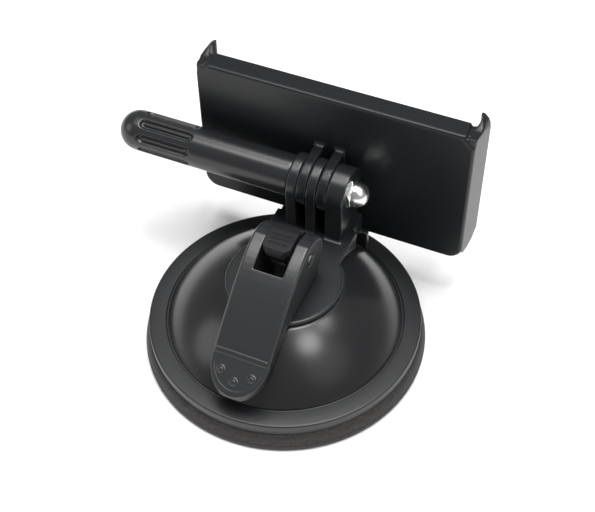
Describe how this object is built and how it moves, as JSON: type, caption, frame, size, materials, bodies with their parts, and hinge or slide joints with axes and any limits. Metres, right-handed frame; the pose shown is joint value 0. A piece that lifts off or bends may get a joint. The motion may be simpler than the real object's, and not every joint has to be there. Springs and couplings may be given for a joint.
{
  "type": "suction-cup vehicle device mount",
  "caption": "Lever-locked suction-cup mount with a swivelling three-finger fork, a clamp handle and a tilting cradle for a small camera or recorder.",
  "frame": {"origin": "centre of the suction cup's sealing face, on the surface it grips", "axes": "+Z away from the surface along the cup and swivel axis, +X along the clamp screw towards its nut, -Y towards the lever's thumb pad, +Y the open side of the cradle"},
  "size_m": [0.1088, 0.0874, 0.0661],
  "materials": {
    "cup_rubber": "matte",
    "insert_plastic": "matte",
    "stud_steel": "satin",
    "spring_steel": "satin",
    "shell_gloss": "gloss",
    "washer_white": "satin",
    "fork_plastic": "satin",
    "keeper_steel": "satin",
    "screw_steel": "satin",
    "lever_plastic": "satin",
    "pin_steel": "polished",
    "slider_plastic": "matte",
    "handle_plastic": "satin",
    "nut_chrome": "polished",
    "cradle_plastic": "satin",
    "pad_rubber": "matte"
  },
  "bodies": {
    "base": {"suction_cup": "cup_rubber", "base_shell": "shell_gloss", "swivel_washer": "washer_white"},
    "cup_centre": {"cup_insert": "insert_plastic", "insert_cap": "insert_plastic", "return_spring": "spring_steel"},
    "turret": {"turret_fork": "fork_plastic", "hub_keeper": "keeper_steel", "hub_screws": "screw_steel", "acorn_nut": "nut_chrome"},
    "stud": {"pull_stud": "stud_steel"},
    "lever": {"lever": "lever_plastic", "pivot_pin": "pin_steel"},
    "lock": {"lock_slider": "slider_plastic"},
    "clamp": {"clamp_handle": "handle_plastic", "clamp_screw": "screw_steel"},
    "cradle": {"cradle_tray": "cradle_plastic", "cradle_pads": "pad_rubber"}
  },
  "joints": [
    {"name": "turret_swivel", "type": "hinge", "parent": "base", "child": "turret", "pos_m": [0, 0, 0.02596], "axis": [0, 0, 1], "continuous": true},
    {"name": "cup_draw", "type": "slide", "parent": "base", "child": "cup_centre", "axis": [0, 0, 1], "range_m": [-0.0026, 0], "deforming": ["suction_cup", "return_spring"]},
    {"name": "stud_slide", "type": "slide", "parent": "turret", "child": "stud", "axis": [0, 0, 1], "range_m": [-0.0025, 0]},
    {"name": "lever_hinge", "type": "hinge", "parent": "stud", "child": "lever", "pos_m": [0, 0, 0.03746], "axis": [-1, 0, 0], "range_deg": [0, 90.5]},
    {"name": "lock_slide", "type": "slide", "parent": "lever", "child": "lock", "axis": [0, 1, 0], "range_m": [0, 0.0015]},
    {"name": "clamp_turn", "type": "hinge", "parent": "turret", "child": "clamp", "pos_m": [0, 0.0263, 0.03966], "axis": [1, 0, 0], "continuous": true},
    {"name": "cradle_tilt", "type": "hinge", "parent": "turret", "child": "cradle", "pos_m": [0, 0.0263, 0.03966], "axis": [1, 0, 0], "range_deg": [-3, 75]}
  ],
  "couplings": [
    {"joint": "lever_hinge", "follows": "stud_slide", "rad_per_m": -628.32},
    {"joint": "cup_draw", "follows": "stud_slide", "ratio": 1}
  ]
}
